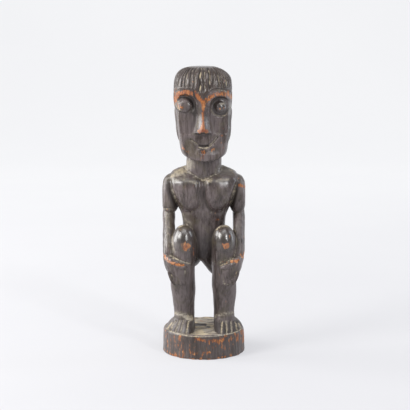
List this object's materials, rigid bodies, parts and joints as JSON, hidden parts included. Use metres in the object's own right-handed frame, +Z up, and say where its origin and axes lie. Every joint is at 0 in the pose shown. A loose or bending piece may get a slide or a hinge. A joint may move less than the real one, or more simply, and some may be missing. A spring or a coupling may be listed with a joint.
{
  "type": "guardian figure",
  "caption": "Squatting wooden guardian figure with hands on its shins, carved in one with a low round base; stands by its own weight",
  "frame": {"origin": "centre of the round base's underside", "axes": "+Z up through the head, the figure faces -Y, and +X is to the right of someone who looks at its face"},
  "size_m": [0.0871, 0.087, 0.3001],
  "materials": {
    "stained_wood": "dark stained hardwood with a dull polish, dusty in its recesses and worn to orange wood on its edges"
  },
  "bodies": {
    "root": {"guardian_figure": "stained_wood"}
  },
  "joints": []
}
